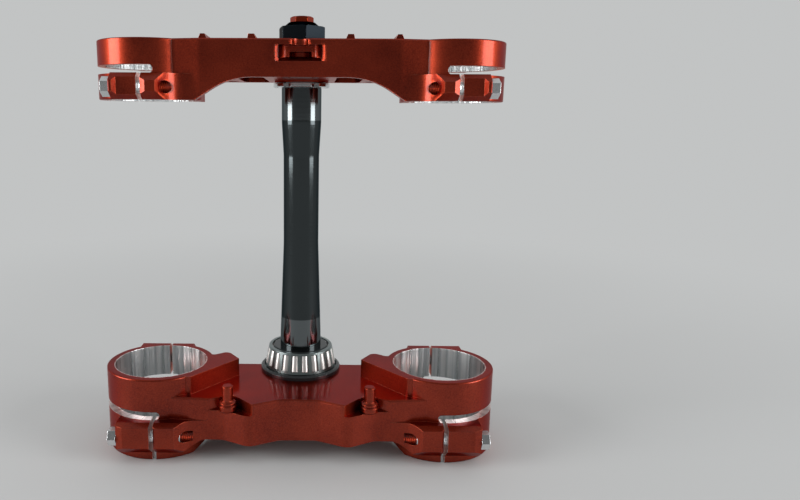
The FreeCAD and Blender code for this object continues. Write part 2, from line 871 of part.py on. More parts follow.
tip_top = roof + dims.stem_tip_tall
stem = turned("stem_blank", [
    (0, floor),
    (dims.stem_root, floor),
    (dims.stem_root, deck),
    (dims.stem_seat, deck),
    (dims.stem_seat, level(dims.stem_seat_top), dims.stem_round),
    (dims.stem_waist, level(dims.stem_waist_low), dims.stem_round),
    (dims.stem_waist, level(dims.stem_waist_high), dims.stem_flare_round),
    (dims.stem_top_seat, level(dims.stem_flare_top), dims.stem_flare_round),
    (dims.stem_top_seat, level(dims.stem_thread_foot)),
    (dims.stem_neck, level(dims.stem_thread_foot)),
    (dims.stem_neck, roof),
    (dims.stem_tip, roof),
    (dims.stem_tip, tip_top),
    (0, tip_top),
])
bore_top = level(dims.stem_bore_top)
steering_stem = cut(
    "steering_stem", stem,
    cylinder("stem_bore_tool", dims.stem_bore, bore_top - floor + MARGIN, 0, 0, floor - MARGIN),
    cone("stem_bore_end", dims.stem_bore, dims.stem_top_bore, dims.stem_bore - dims.stem_top_bore,
         0, 0, bore_top),
    cylinder("stem_top_bore_tool", dims.stem_top_bore, FAR, 0, 0, bore_top),
)

# Lower bearing, with its rollers and cage about the steering axis, and its seal

foot = level(dims.cone_foot)
crown = foot + dims.cone_tall
axis_low = dims.race_low + dims.roller_gap + dims.roller_big
axis_high = dims.race_high + dims.roller_gap + dims.roller_small
tilt = math.degrees(math.asin((axis_low.number - axis_high.number) / dims.roller_long.number))
roller_foot = foot + dims.cone_rib_tall + dims.roller_big * math.sin(math.radians(tilt)) + dims.roller_gap
race_top = crown - dims.cone_lip_tall
bearing_cone = turned("bearing_cone", [
    (dims.stem_seat, foot),
    (dims.cone_rib, foot),
    (dims.cone_rib, foot + dims.cone_rib_tall),
    (dims.race_low, foot + dims.cone_rib_tall),
    (dims.race_high, race_top),
    (dims.cone_lip, race_top),
    (dims.cone_lip, crown - dims.cone_edge),
    (dims.cone_lip - dims.cone_edge, crown),
    (dims.stem_seat, crown),
])
lean = Rotation(Vector(0, 1, 0), -tilt)
step = 360 / COUNTS["rollers"]


def around_axis(name, source, count, start):
    """Copies of a solid spread evenly about the steering axis."""
    copies = []
    for index in range(count):
        turn = Rotation(UP, start + index * 360 / count)
        copies.append(moved(f"{name}_{index + 1}", source, turn=turn))
    return copies


roller = cone("roller", dims.roller_big, dims.roller_small, dims.roller_long, axis_low, 0, roller_foot, lean)
bearing_rollers = doc.addObject("Part::Compound", "bearing_rollers")
bearing_rollers.Links = around_axis("roller_copy", roller, COUNTS["rollers"], step / 2 - 90)
window = tapered_box(
    "window_tool", dims.roller_big + dims.window_gap,
    dims.roller_big - dims.window_ease, dims.roller_small - dims.window_ease,
    dims.roller_long + dims.window_gap + dims.window_gap,
    axis_low, roller_foot - dims.window_gap, lean,
)
cage_foot = foot + dims.cage_rise
cage_crown = crown - dims.cage_drop
cage_blank = turned("cage_blank", [
    (dims.cage_low - dims.cage_thick, cage_foot),
    (dims.cage_low, cage_foot),
    (dims.cage_high, cage_crown - dims.cage_edge),
    (dims.cage_high - dims.cage_edge, cage_crown),
    (dims.cone_lip + dims.cage_rim, cage_crown),
    (dims.cone_lip + dims.cage_rim, cage_crown - dims.cage_thick),
    (dims.cage_high - dims.cage_thick, cage_crown - dims.cage_thick),
])
bearing_cage = cut(
    "bearing_cage", cage_blank, *around_axis("window_copy", window, COUNTS["rollers"], step / 2 - 90),
)
seal_washer = turned("seal_washer", [
    (dims.stem_seat, deck),
    (dims.washer_out, deck),
    (dims.washer_out, foot),
    (dims.stem_seat, foot),
])
dust_seal = turned("dust_seal", [
    (dims.washer_out, deck),
    (dims.seal_out, deck),
    (dims.seal_out, deck + dims.seal_tall - dims.seal_lip),
    (dims.seal_out - dims.seal_lip, deck + dims.seal_tall),
    (dims.washer_out - dims.seal_lip / 2, deck + dims.seal_tall),
    (dims.washer_out - dims.seal_lip, foot),
    (dims.washer_out, foot),
])

# Adjuster nut under the upper clamp

nut_seat = level(top.boss_floor)
thread = dims.stem_neck + dims.neck_clearance
adjuster_foot = level(dims.adjuster_foot)
lug_top = nut_seat - dims.lock_thick
adjuster_nut = cut(
    "adjuster_nut",
    turned("adjuster_blank", [
        (thread, adjuster_foot),
        (dims.adjuster_lug - dims.adjuster_edge, adjuster_foot),
        (dims.adjuster_lug, adjuster_foot + dims.adjuster_edge),
        (dims.adjuster_lug, lug_top),
        (thread, lug_top),
    ]),
    *around_axis(
        "adjuster_slot",
        box("adjuster_slot_tool", (dims.adjuster_body, dims.adjuster_lug + MARGIN),
            (-dims.adjuster_slot / 2, dims.adjuster_slot / 2),
            (adjuster_foot - MARGIN, lug_top + MARGIN)),
        COUNTS["adjuster_lugs"], 0,
    ),
)
lock_ring = turned("lock_ring", [
    (thread, lug_top),
    (dims.lock_out, lug_top),
    (dims.lock_out, nut_seat),
    (thread, nut_seat),
])

# Stem nut, its washer, the cap and the cap bolt

nut_foot = roof + dims.nut_washer_thick
nut_top = tip_top + dims.nut_proud
tip_thread = dims.stem_tip + dims.neck_clearance
stem_nut_washer = turned("stem_nut_washer", [
    (tip_thread, roof),
    (dims.nut_washer_out, roof),
    (dims.nut_washer_out, nut_foot),
    (tip_thread, nut_foot),
])


def eased_hexagon(name, flats, foot_z, tall, edge, both, x=0, y=0):
    """A hexagon whose corners are turned off at the top, and at the foot if both."""
    reach = flats / math.sqrt(3)
    start = (reach - edge, foot_z), (reach, foot_z + edge / 2)
    outline = [(0, foot_z), *(start if both else [(reach, foot_z)])]
    outline += [(reach, foot_z + tall - edge / 2), (reach - edge, foot_z + tall), (0, foot_z + tall)]
    bar = hexagon(name + "_bar", flats, tall, x, y, foot_z)
    return common(name, bar, turned(name + "_turned", outline, x, y))


stem_nut_blank = eased_hexagon(
    "stem_nut_blank", dims.nut_flats, nut_foot, nut_top - nut_foot, dims.nut_edge, True,
)
stem_nut = cut(
    "stem_nut",
    moved("stem_nut_turned", stem_nut_blank, turn=Rotation(UP, SIZES["nut_turn"])),
    cylinder("stem_nut_bore", tip_thread, FAR, 0, 0, nut_foot - MARGIN),
)
cap_top = nut_top + dims.cap_tall
nut_cap = turned("nut_cap", [
    (dims.cap_bolt_shank, nut_top),
    (dims.cap_out, nut_top),
    (dims.cap_top_out, cap_top, dims.cap_round),
    (dims.cap_bolt_shank, cap_top),
])
cap_bolt = fuse(
    "cap_bolt",
    eased_hexagon("cap_bolt_head", dims.cap_bolt_flats, cap_top, dims.cap_bolt_tall, dims.nut_edge, False),
    cylinder("cap_bolt_shank", dims.cap_bolt_shank, dims.cap_bolt_long, 0, 0, cap_top - dims.cap_bolt_long),
)

# Pinch bolts, with their heads on the outer sides


def pinch_bolts(name, c, length, turn):
    bolts = []
    for side, y, z in bolt_seats(c):
        head = fuse(
            f"{name}_head_{side + 1}",
            hexagon(f"{name}_hexagon_{side + 1}", dims.bolt_flats, dims.bolt_head, c.seat_x, y, z,
                    ALONG_X * Rotation(UP, turn)),
            cylinder(f"{name}_shank_{side + 1}", dims.bolt_shank, length, c.seat_x - length, y, z, ALONG_X),
        )
        bolts += [head, mirrored(f"{name}_left_{side + 1}", head)]
    group = doc.addObject("Part::Compound", name)
    group.Links = bolts
    return group


lower_pinch_bolts = pinch_bolts("lower_pinch_bolts", low, dims.low_bolt_long, HEX_STEP / 2)
upper_pinch_bolts = pinch_bolts("upper_pinch_bolts", top, dims.top_bolt_long, 0)

# Guide pins with their collars

collar_top = shelf + dims.collar_tall
flange_foot = collar_top
flange_top = flange_foot + dims.pin_flange_tall


def guide_pin(name, x):
    edge = dims.pin_flange_edge
    return fuse(
        name,
        turned(name + "_turned", [
            (0, flange_foot),
            (dims.pin_flange - edge, flange_foot),
            (dims.pin_flange, flange_foot + edge),
            (dims.pin_flange, flange_top - edge),
            (dims.pin_flange - edge, flange_top),
            (dims.pin_shaft + dims.pin_flare / 2, flange_top),
            (dims.pin_shaft, flange_top + dims.pin_flare / 2),
            (dims.pin_shaft, level(dims.pin_top) - dims.pin_tip_edge),
            (dims.pin_shaft - dims.pin_tip_edge, level(dims.pin_top)),
            (0, level(dims.pin_top)),
        ], x, -dims.pin_front),
        cylinder(name + "_thread", dims.pin_thread, collar_top - shelf + dims.pin_thread_long,
                 x, -dims.pin_front, shelf - dims.pin_thread_long),
    )


def pin_collar(name, x):
    edge = dims.collar_edge
    return turned(name, [
        (dims.pin_thread, shelf),
        (dims.collar_out - edge, shelf),
        (dims.collar_out, shelf + edge),
        (dims.collar_out, collar_top - edge),
        (dims.collar_out - edge, collar_top),
        (dims.pin_thread, collar_top),
    ], x, -dims.pin_front)


pins = []
for side, x in (("left", -dims.pin_x), ("right", dims.pin_x)):
    pins += [guide_pin(side + "_guide_pin", x), pin_collar(side + "_pin_collar", x)]

# Every sub-part in its own file

NODES = [
    lower_clamp, upper_clamp, steering_stem, bearing_cone, bearing_cage, bearing_rollers,
    seal_washer, dust_seal, adjuster_nut, lock_ring, stem_nut_washer, stem_nut, nut_cap,
    cap_bolt, lower_pinch_bolts, upper_pinch_bolts, *pins,
]


def check(things):
    """Stops on any failed object, and on any sub-part without a sound shape."""
    for thing in doc.Objects:
        if "Invalid" in thing.State or "Error" in thing.State:
            raise RuntimeError(f"{thing.Name} failed: {thing.State}")
    for thing in things:
        if thing.Shape.isNull() or not thing.Shape.isValid() or not thing.Shape.Solids:
            raise RuntimeError(f"{thing.Name} has no sound shape")


doc.recompute()
check(NODES)
os.makedirs("parts", exist_ok=True)
for node in NODES:
    node.Label = node.Name
    node.Shape.exportStep(f"parts/{node.Name}.step")
    box_size = node.Shape.BoundBox
    print(f"{node.Name}: {len(node.Shape.Solids)} solids, {node.Shape.Volume:.0f} mm3,"
          f" Z {box_size.ZMin:.2f} to {box_size.ZMax:.2f}")
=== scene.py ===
"""Finishes and studio stage for a motorcycle triple clamp.

Laid out as an add-on and run as a script. Every step is an operator with a button in the sidebar.
"""

import functools
import json
import math

import bpy
from bpy.props import FloatProperty, FloatVectorProperty, PointerProperty
from mathutils import Matrix, Vector


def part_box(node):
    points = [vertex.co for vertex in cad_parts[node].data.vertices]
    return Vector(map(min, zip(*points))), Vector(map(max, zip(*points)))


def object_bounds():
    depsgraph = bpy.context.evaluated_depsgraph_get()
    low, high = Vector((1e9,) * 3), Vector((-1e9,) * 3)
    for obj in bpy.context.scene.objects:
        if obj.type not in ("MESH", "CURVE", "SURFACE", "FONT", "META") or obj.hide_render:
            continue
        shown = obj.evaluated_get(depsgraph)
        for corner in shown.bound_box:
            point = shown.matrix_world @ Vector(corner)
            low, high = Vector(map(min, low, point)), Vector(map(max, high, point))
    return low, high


bl_info = {
    "name": "Triple Clamp Finishes",
    "version": (1, 0, 0),
    "blender": (4, 5, 0),
    "location": "3D View > Sidebar > Triple Clamp",
    "description": "Finishes for the parts of a motorcycle triple clamp, and a studio floor",
    "category": "Material",
}

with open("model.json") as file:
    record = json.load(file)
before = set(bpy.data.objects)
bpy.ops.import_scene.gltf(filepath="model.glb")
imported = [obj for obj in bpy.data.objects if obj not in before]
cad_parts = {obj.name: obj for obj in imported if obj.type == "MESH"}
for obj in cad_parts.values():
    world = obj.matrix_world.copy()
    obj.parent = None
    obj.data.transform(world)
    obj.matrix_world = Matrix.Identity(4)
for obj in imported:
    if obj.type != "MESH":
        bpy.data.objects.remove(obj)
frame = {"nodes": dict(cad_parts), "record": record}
CAD_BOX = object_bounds()
MOUNTS = {mount["name"]: mount for mount in frame["record"]["mounts"]}
LOWER_FORK = MOUNTS["right_lower_fork"]
UPPER_FORK = MOUNTS["right_upper_fork"]
MM = 0.001

# Where nodes are set down in a tree.
NODES_IN_ROW = 9
NODE_STEP_X, NODE_STEP_Y = 190, -230

# The photograph's width, and the camera's focal length and line of sight in the same pixels.
PHOTO_WIDTH_PX = 800.0
FOCAL_PX = 677.14
SIGHT_X_PX = 307.37

SENSOR_MM = 36.0


def length(name, description, default):
    return FloatProperty(
        name=name, description=description, default=default, unit="LENGTH", precision=6
    )


def share(name, description, default):
    return FloatProperty(
        name=name, description=description, default=default, min=0.0, max=1.0, subtype="FACTOR"
    )


def level(name, description, default):
    return FloatProperty(
        name=name, description=description, default=default, min=0.0, subtype="UNSIGNED"
    )


def place(name, description, default):
    return FloatVectorProperty(
        name=name, description=description, default=default, size=2, unit="LENGTH", precision=5
    )


def colour(name, description, default):
    return FloatVectorProperty(
        name=name, description=description, default=default, size=3, subtype="COLOR",
        min=0.0, max=1.0,
    )


class ClampSizes(bpy.types.PropertyGroup):
    """Where the machined faces of the two clamps lie."""

    fork_x: length(
        "Fork offset", "Distance of a fork tube from the steering axis", LOWER_FORK["pos_m"][0]
    )
    fork_back: length(
        "Fork set forward", "How far the fork tubes stand ahead of the stem",
        -LOWER_FORK["pos_m"][1],
    )
    lower_bore: length(
        "Lower bore", "Radius of the lower fork bores", LOWER_FORK["dims"]["r_mm"] * MM
    )
    upper_bore: length(
        "Upper bore", "Radius of the upper fork bores", UPPER_FORK["dims"]["r_mm"] * MM
    )
    lower_ring: length("Lower ring", "Outer radius of the lower fork rings", 0.0352)
    upper_ring: length("Upper ring", "Outer radius of the upper fork rings", 0.0313)
    lower_slot: length("Lower slot height", "Height of the lower rings' slot", 0.0152)
    upper_slot: length("Upper slot height", "Height of the upper rings' slot", 0.2271)
    slot_half: length("Half slot", "Half the width of a slot", 0.0025)
    lower_slot_end: length("Lower slot end", "How far out the lower slot ends", 0.0875)
    upper_slot_end: length("Upper slot end", "How far out the upper slot ends", 0.0848)
    front_split: length("Front split", "Distance of the front split from the centre", 0.0915)
    rear_split: length("Rear split", "Distance of the rear split from the centre", 0.093)
    lower_front_bolt: place(
        "Lower front bolt", "Y and Z of the lower front pinch bolts", (-0.0593, 0.0026)
    )
    lower_rear_bolt: place(
        "Lower rear bolt", "Y and Z of the lower rear pinch bolts", (0.0153, 0.0278)
    )
    upper_front_bolt: place(
        "Upper front bolt", "Y and Z of the upper front pinch bolts", (-0.0565, 0.2167)
    )
    upper_rear_bolt: place(
        "Upper rear bolt", "Y and Z of the upper rear pinch bolts", (0.0125, 0.2375)
    )
    lower_corners: length(
        "Lower corner reach", "How far out the lower front wall's wide rounds go", 0.0385
    )
    upper_corners: length(
        "Upper corner reach", "How far out the upper front wall's wide rounds go", 0.08
    )


class AnodisedFinish(bpy.types.PropertyGroup):
    """The clamps' red anodised coat and their bare machined faces."""

    coat: colour("Anodised colour", "Colour of the anodised aluminium", (0.37, 0.043, 0.017))
    # This darker colour is the coat's grain, and also the painted shade inside the bolt holes.
    deep_grain_and_hole_shade: colour("Deep colour", "Colour of the coat's darker grain", (0.16, 0.014, 0.006))
    # Painted highlight as well as rubbing: this lighter colour along the edges also stands in for
    # the light the chamfers catch.
    worn_and_glint: colour("Worn colour", "Colour of the coat rubbed thin on an edge", (0.66, 0.20, 0.12))
    rim: colour("Grazing colour", "Tint of the coat seen at a low angle", (0.62, 0.16, 0.10))
    bare: colour("Machined colour", "Colour of the bare machined faces", (0.95, 0.96, 0.96))
    # Painted reflection: this darker colour, in bands round the bores, stands in for the bands that
    # the lamps' reflections make.
    band_reflection_colour: colour("Streak colour", "Colour of the boring bar's darker streaks", (0.66, 0.69, 0.70))
    roughness: share("Roughness", "Roughness of the anodised coat", 0.34)
    roughness_spread: share("Roughness spread", "How far the coat's roughness varies", 0.05)
    bare_roughness: share("Machined roughness", "Roughness of the bare faces", 0.3)
    bare_spread: share("Machined spread", "How far the bare faces' roughness varies", 0.12)
    gloss: share("Clear gloss", "Strength of the clear sealed layer", 0.35)
    gloss_roughness: share("Clear roughness", "Roughness of the clear sealed layer", 0.14)
    gloss_index: level("Clear index", "Refractive index of the clear sealed layer", 1.5)
    bands: level("Bands", "How many bands the boring bar leaves in one radian", 6.0)
    grain: length("Grain", "Size of the blasted grain", 0.0008)
    grain_height: length("Grain height", "Height of the blasted grain", 0.00002)
    band_height: length("Band height", "Height of the bands in a bore", 0.001)
    ring_height: length("Ring height", "Height of the fine rings on bare faces", 0.000008)
    thread_height: length("Thread height", "Height of the thread in a bolt hole", 0.0003)
    edge: length("Edge round", "How far the edges are broken", 0.0004)


class SteelFinish(bpy.types.PropertyGroup):
    """The stem, the bearing and its seal, the nuts and the bolts."""

    stem: colour("Stem colour", "Colour of the ground seats of the stem", (0.13, 0.145, 0.15))
    stem_dark: colour(
        "Stem dark colour", "Colour of the stem's coated middle", (0.045, 0.052, 0.054)
    )
    stem_rim: colour("Stem grazing colour", "Tint of the stem at a low angle", (0.4, 0.42, 0.43))
    stem_low: length("Stem coat foot", "Where the stem's coated middle starts", 0.0652)
    stem_high: length("Stem coat top", "Where the stem's coated middle ends", 0.198)
    roller: colour("Roller colour", "Colour of the rollers", (0.95, 0.93, 0.90))
    cage: colour("Cage colour", "Colour of the cage", (0.22, 0.26, 0.26))
    zinc: colour("Zinc colour", "Colour of the pinch bolts", (0.80, 0.82, 0.83))
    aluminium: colour("Aluminium colour", "Colour of the adjuster nut", (0.74, 0.76, 0.77))
    nut: colour("Nut colour", "Colour of the black stem nut", (0.010, 0.013, 0.016))
    cap_bolt: colour("Cap bolt colour", "Colour of the anodised cap bolt", (0.34, 0.036, 0.012))
    rubber: colour("Rubber colour", "Colour of the dust seal", (0.022, 0.024, 0.026))
    rubber_deep: colour("Rubber deep colour", "Darker parts of the seal", (0.008, 0.009, 0.010))
    thread: length("Thread pitch", "Pitch of the pinch bolts' thread", 0.00125)
    thread_height: length("Thread height", "Height of the pinch bolts' thread", 0.00028)
    bolt_head: length("Bolt head", "Height of a pinch bolt's head", 0.0051)
    bolt_plain: length("Plain shank", "Length of the shank's plain stretch", 0.006)


class StageSettings(bpy.types.PropertyGroup):
    """The floor, the lamps and the room round the part."""

    floor: colour("Floor colour", "Colour of the studio floor", (0.54, 0.55, 0.55))
    backdrop: colour("Backdrop colour", "Colour of the pale backdrop", (0.54, 0.55, 0.55))
    reach: length("Floor reach", "How far the floor goes on each side", 8.0)
    near: length("Fade start", "Where the floor starts to fade into the backdrop", 0.2)
    far: length("Fade end", "Where the floor has become the backdrop", 0.85)
    ceiling: level("Ceiling level", "Brightness of the soft ceiling", 0.9)
    front: level("Front level", "Brightness of the wall behind the camera", 0.14)
    strip: level("Strip level", "Brightness of the left tall light", 8.0)
    right_share: share("Right share", "Brightness of the right tall light by the left", 0.85)
    strip_turn: FloatProperty(
        name="Strip angle", description="Angle of a tall light from straight ahead of the part",
        default=math.radians(71.0), subtype="ANGLE",
    )
    strip_away: length("Strip distance", "Distance of a tall light from the part", 2.2)
    strip_wide: length("Strip width", "Width of a tall light", 1.1)
    strip_high: length("Strip height", "Height of a tall light, from the plate up", 1.5)


class Wires:
    """Adds nodes to one tree and joins them."""

    def __init__(self, tree):
        self.tree = tree

    def add(self, kind, **settings):
        """A new node, set down in rows so that the tree can be read."""
        node = self.tree.nodes.new(kind)
        row, column = divmod(len(self.tree.nodes), NODES_IN_ROW)
        node.location = (NODE_STEP_X * column, NODE_STEP_Y * row)
        for name, value in settings.items():
            setattr(node, name, value)
        return node

    def put(self, socket, value):
        """Joins a socket to another, or sets its value."""
        if isinstance(value, bpy.types.NodeSocket):
            self.tree.links.new(value, socket)
        else:
            socket.default_value = value

    def fill(self, node, *values):
        """Gives a node's first sockets their values, in order."""
        for socket, value in zip(node.inputs, values):
            self.put(socket, value)
        return node

    def math(self, operation, *values, clamp=False):
        node = self.add("ShaderNodeMath", operation=operation, use_clamp=clamp)
        return self.fill(node, *values).outputs[0]

    def vector(self, operation, *values):
        node = self.add("ShaderNodeVectorMath", operation=operation)
        result = "Value" if operation in ("DOT_PRODUCT", "LENGTH") else "Vector"
        return self.fill(node, *values).outputs[result]

    def total(self, *values):
        return functools.reduce(functools.partial(self.math, "ADD"), values)

    def all_of(self, *masks):
        """1 where every mask is 1, and the product where they are values."""
        return functools.reduce(functools.partial(self.math, "MULTIPLY"), masks)

    def any_of(self, *masks):
        return functools.reduce(functools.partial(self.math, "MAXIMUM"), masks)

    def opposite(self, mask):
        return self.math("SUBTRACT", 1.0, mask)

    def below(self, value, limit):
        return self.math("LESS_THAN", value, limit)

    def above(self, value, limit):
        return self.math("GREATER_THAN", value, limit)

    def within(self, value, middle, reach):
        """1 where a value lies no further than reach from the middle."""
        return self.below(self.math("ABSOLUTE", self.math("SUBTRACT", value, middle)), reach)

    def distance(self, across, along):
        squares = (self.all_of(across, across), self.all_of(along, along))
        return self.math("SQRT", self.total(*squares))

    def blend(self, factor, low, high):
        """A colour or number between two, by a factor."""
        if isinstance(low, (int, float)):
            node = self.add("ShaderNodeMapRange")
            self.put(node.inputs["Value"], factor)
            self.put(node.inputs["To Min"], low)
            self.put(node.inputs["To Max"], high)
            return node.outputs["Result"]
        node = self.add("ShaderNodeMix", data_type="RGBA")
        self.put(node.inputs["Factor"], factor)
        colours = node.inputs[6:8]
        for socket, value in zip(colours, (low, high)):
            self.put(socket, value if isinstance(value, bpy.types.NodeSocket) else (*value, 1.0))
        return node.outputs[2]

    def spread(self, factor, middle, reach):
        """A number that goes from below a middle to above it, by a factor."""
        return self.blend(factor, middle - reach, middle + reach)

    def choose(self, mask, first, second):
        """The first of two normals where a mask is 0, and the second where it is 1."""
        node = self.add("ShaderNodeMix", data_type="VECTOR")
        for index, value in zip((0, 4, 5), (mask, first, second)):
            self.put(node.inputs[index], value)
        return node.outputs[1]

    def layer(self, factor, below, above):
        """One of two shaders, by a factor."""
        return self.fill(self.add("ShaderNodeMixShader"), factor, below, above).outputs[0]

    def smooth(self, value, start_and_end, low_and_high):
        """A value that goes smoothly from low to high between a start and an end."""
        node = self.add("ShaderNodeMapRange", interpolation_type="SMOOTHSTEP")
        self.put(node.inputs["Value"], value)
        labels = ("From Min", "From Max", "To Min", "To Max")
        for label, given in zip(labels, (*start_and_end, *low_and_high)):
            self.put(node.inputs[label], given)
        return node.outputs["Result"]

    def point(self):
        """Where a point of the surface lies in the shared frame."""
        return self.add("ShaderNodeTexCoord").outputs["Object"]

    def position(self):
        """X, Y and Z of a point of the surface."""
        return self.fill(self.add("ShaderNodeSeparateXYZ"), self.point()).outputs

    def facing(self, axis):
        """How squarely a face looks along an axis, either way."""
        normal = self.add("ShaderNodeNewGeometry").outputs["True Normal"]
        parts = self.fill(self.add("ShaderNodeSeparateXYZ"), normal).outputs
        return self.math("ABSOLUTE", parts[axis])

    def noise(self, size, detail):
        """Noise over the surface, with clumps of one size."""
        node = self.add("ShaderNodeTexNoise")
        self.put(node.inputs["Vector"], self.point())
        self.put(node.inputs["Scale"], self.math("DIVIDE", 1.0, size))
        self.put(node.inputs["Detail"], detail)
        return node.outputs["Fac"]

    def noise_along(self, value):
        """Noise that changes along one value only."""
        node = self.add("ShaderNodeTexNoise", noise_dimensions="1D")
        self.put(node.inputs["W"], value)
        self.put(node.inputs["Scale"], 1.0)
        self.put(node.inputs["Detail"], 2.0)
        return node.outputs["Fac"]

    def rounded(self, radius, samples):
        """The normal of a surface whose edges are rounded."""
        return self.fill(self.add("ShaderNodeBevel", samples=samples), radius).outputs[0]

    def relief(self, height, normal):
        """A normal with a height in metres laid over it."""
        bump = self.add("ShaderNodeBump")
        self.put(bump.inputs["Strength"], 1.0)
        self.put(bump.inputs["Distance"], 1.0)
        self.put(bump.inputs["Height"], height)
        self.put(bump.inputs["Normal"], normal)
        return bump.outputs[0]

    def use(self, group, **values):
        """Places a group with its own values."""
        node = self.add("ShaderNodeGroup", node_tree=group)
        for name, value in values.items():
            self.put(node.inputs[name.replace("_", " ").capitalize()], value)
        return node.outputs


def shared(name, inputs, outputs):
    """Turns a function that wires up a node group into one that gives that group, made once.

    The inputs are named numbers. So are the outputs, but for one named Normal, which is a vector.
    """

    def turn(wire_up):
        @functools.wraps(wire_up)
        def group():
            if name not in bpy.data.node_groups:
                tree = bpy.data.node_groups.new(name, "ShaderNodeTree")
                for label, value in inputs.items():
                    socket = tree.interface.new_socket(
                        label, in_out="INPUT", socket_type="NodeSocketFloat"
                    )
                    socket.default_value = value
                for label in outputs:
                    kind = "NodeSocketVector" if label == "Normal" else "NodeSocketFloat"
                    tree.interface.new_socket(label, in_out="OUTPUT", socket_type=kind)
                wires = Wires(tree)
                given = wires.add("NodeGroupInput").outputs
                wire_up(wires, given, wires.add("NodeGroupOutput").inputs)
            return bpy.data.node_groups[name]

        return group

    return turn


@shared("Metal grain", {"Size": 0.0009, "Cloud": 0.03}, ("Grain", "Cloud"))
def grain_group(wires, given, result):
    """Blasted and sealed metal: a fine grain, and clouds that vary over centimetres."""
    wires.put(result["Grain"], wires.noise(given["Size"], detail=2.0))
    wires.put(result["Cloud"], wires.noise(given["Cloud"], detail=4.0))


@shared(
    "Turning marks",
    {"Axis x": 0.0, "Axis back": 0.0, "Bands": 7.0, "Pitch": 0.0006},
    ("Bands", "Rings"),
)
def turning_group(wires, given, result):
    """Marks of a lathe or a boring bar: bands along an upright axis and rings round it. Laid on a
    colour, the bands are a painted reflection.
    """
    x, y, z = wires.position()
    across = wires.math("SUBTRACT", wires.math("ABSOLUTE", x), given["Axis x"])
    along = wires.total(y, given["Axis back"])
    angle = wires.math("ARCTAN2", along, across)
    wires.put(result["Bands"], wires.noise_along(wires.all_of(angle, given["Bands"])))
    wires.put(result["Rings"], wires.noise_along(wires.math("DIVIDE", z, given["Pitch"])))


@shared("Worn and glinting edges", {"Radius": 0.0004, "Patch": 0.004}, ("Wear and glint", "Normal"))
def edge_group(wires, given, result):
    """Rounded edges, and a thin patchy line along each, partly where handling wears the coat and
    partly a painted edge highlight.
    """
    still_flat, edge_gain = 0.985, 6.0
    bare_noise, patch_gain = 0.35, 2.5
    rounded = wires.rounded(given["Radius"], samples=6)
    wires.put(result["Normal"], rounded)
    smooth_normal = wires.add("ShaderNodeNewGeometry").outputs["Normal"]
    turned = wires.math("SUBTRACT", still_flat, wires.vector("DOT_PRODUCT", rounded, smooth_normal))
    on_edge = wires.math("MULTIPLY", turned, edge_gain, clamp=True)
    noise = wires.math("SUBTRACT", wires.noise(given["Patch"], detail=4.0), bare_noise)
    patches = wires.math("MULTIPLY", noise, patch_gain, clamp=True)
    wires.put(result["Wear and glint"], wires.all_of(on_edge, patches))


@shared("Front corners", {"Radius": 0.0035, "Reach": 0.06, "Front": 0.034}, ("Corner", "Normal"))
def corner_group(wires, given, result):
    """The wide rounds of the upright corners in a clamp's front wall, and 1 on that wall."""
    upright = 0.05
    rounded = wires.rounded(given["Radius"], samples=8)
    levelled = wires.vector("MULTIPLY", rounded, (1.0, 1.0, 0.0))
    wires.put(result["Normal"], wires.vector("NORMALIZE", levelled))
    x, y, _ = wires.position()
    wall = wires.below(wires.facing("Z"), upright)
    inside = wires.below(wires.math("ABSOLUTE", x), given["Reach"])
    front = wires.below(y, wires.math("MULTIPLY", given["Front"], -1.0))
    wires.put(result["Corner"], wires.all_of(wall, inside, front))


@shared("Bolt thread", {"Pitch": 0.00125}, ("Thread",))
def thread_group(wires, given, result):
    """The turns of a thread along the X axis, from 0 at the root to 1 at the crest."""
    turns = wires.math("DIVIDE", wires.position()[0], given["Pitch"])
    wires.put(result["Thread"], wires.all_of(wires.math("PINGPONG", turns, 0.5), 2.0))


@shared(
    "Machined faces",
    {
        "Fork x": 0.093, "Fork back": 0.022, "Bore": 0.03, "Ring": 0.0352, "Slot": 0.015,
        "Slot half": 0.0025, "Slot end": 0.0875, "Front split": 0.0915, "Rear split": 0.093,
    },
    ("Bare", "Bored"),
)
def machined_group(wires, given, result):
    """1 on the bare faces of a fork ring: its bore, its slot and its two splits."""
    skin, groove, past_ring = 0.00008, 0.0005, 0.0002
    front_half, rear_half = 0.0013, 0.0009
    leans, square, level_face = 0.3, 0.95, 0.9
    x, y, z = wires.position()
    out = wires.math("ABSOLUTE", x)
    across = wires.math("SUBTRACT", out, given["Fork x"])
    along = wires.total(y, given["Fork back"])
    away = wires.distance(across, along)

    in_bore = wires.below(away, wires.total(given["Bore"], groove))
    top_of_ear = wires.all_of(
        wires.above(wires.facing("Z"), level_face),
        wires.above(away, wires.total(given["Ring"], past_ring)),
    )
    in_slot = wires.all_of(
        wires.within(z, given["Slot"], wires.total(given["Slot half"], skin)),
        wires.above(out, wires.math("SUBTRACT", given["Slot end"], skin)),
        wires.below(wires.facing("Y"), leans),
        wires.opposite(top_of_ear),
    )
    sideways = wires.above(wires.facing("X"), square)
    front, low = wires.below(along, 0.0), wires.below(z, given["Slot"])
    in_front = wires.all_of(
        wires.within(out, given["Front split"], front_half), sideways, front, low
    )
    in_rear = wires.all_of(
        wires.within(out, given["Rear split"], rear_half), sideways,
        wires.opposite(front), wires.opposite(low),
    )
    wires.put(result["Bare"], wires.any_of(in_bore, in_slot, in_front, in_rear))
    wires.put(result["Bored"], in_bore)


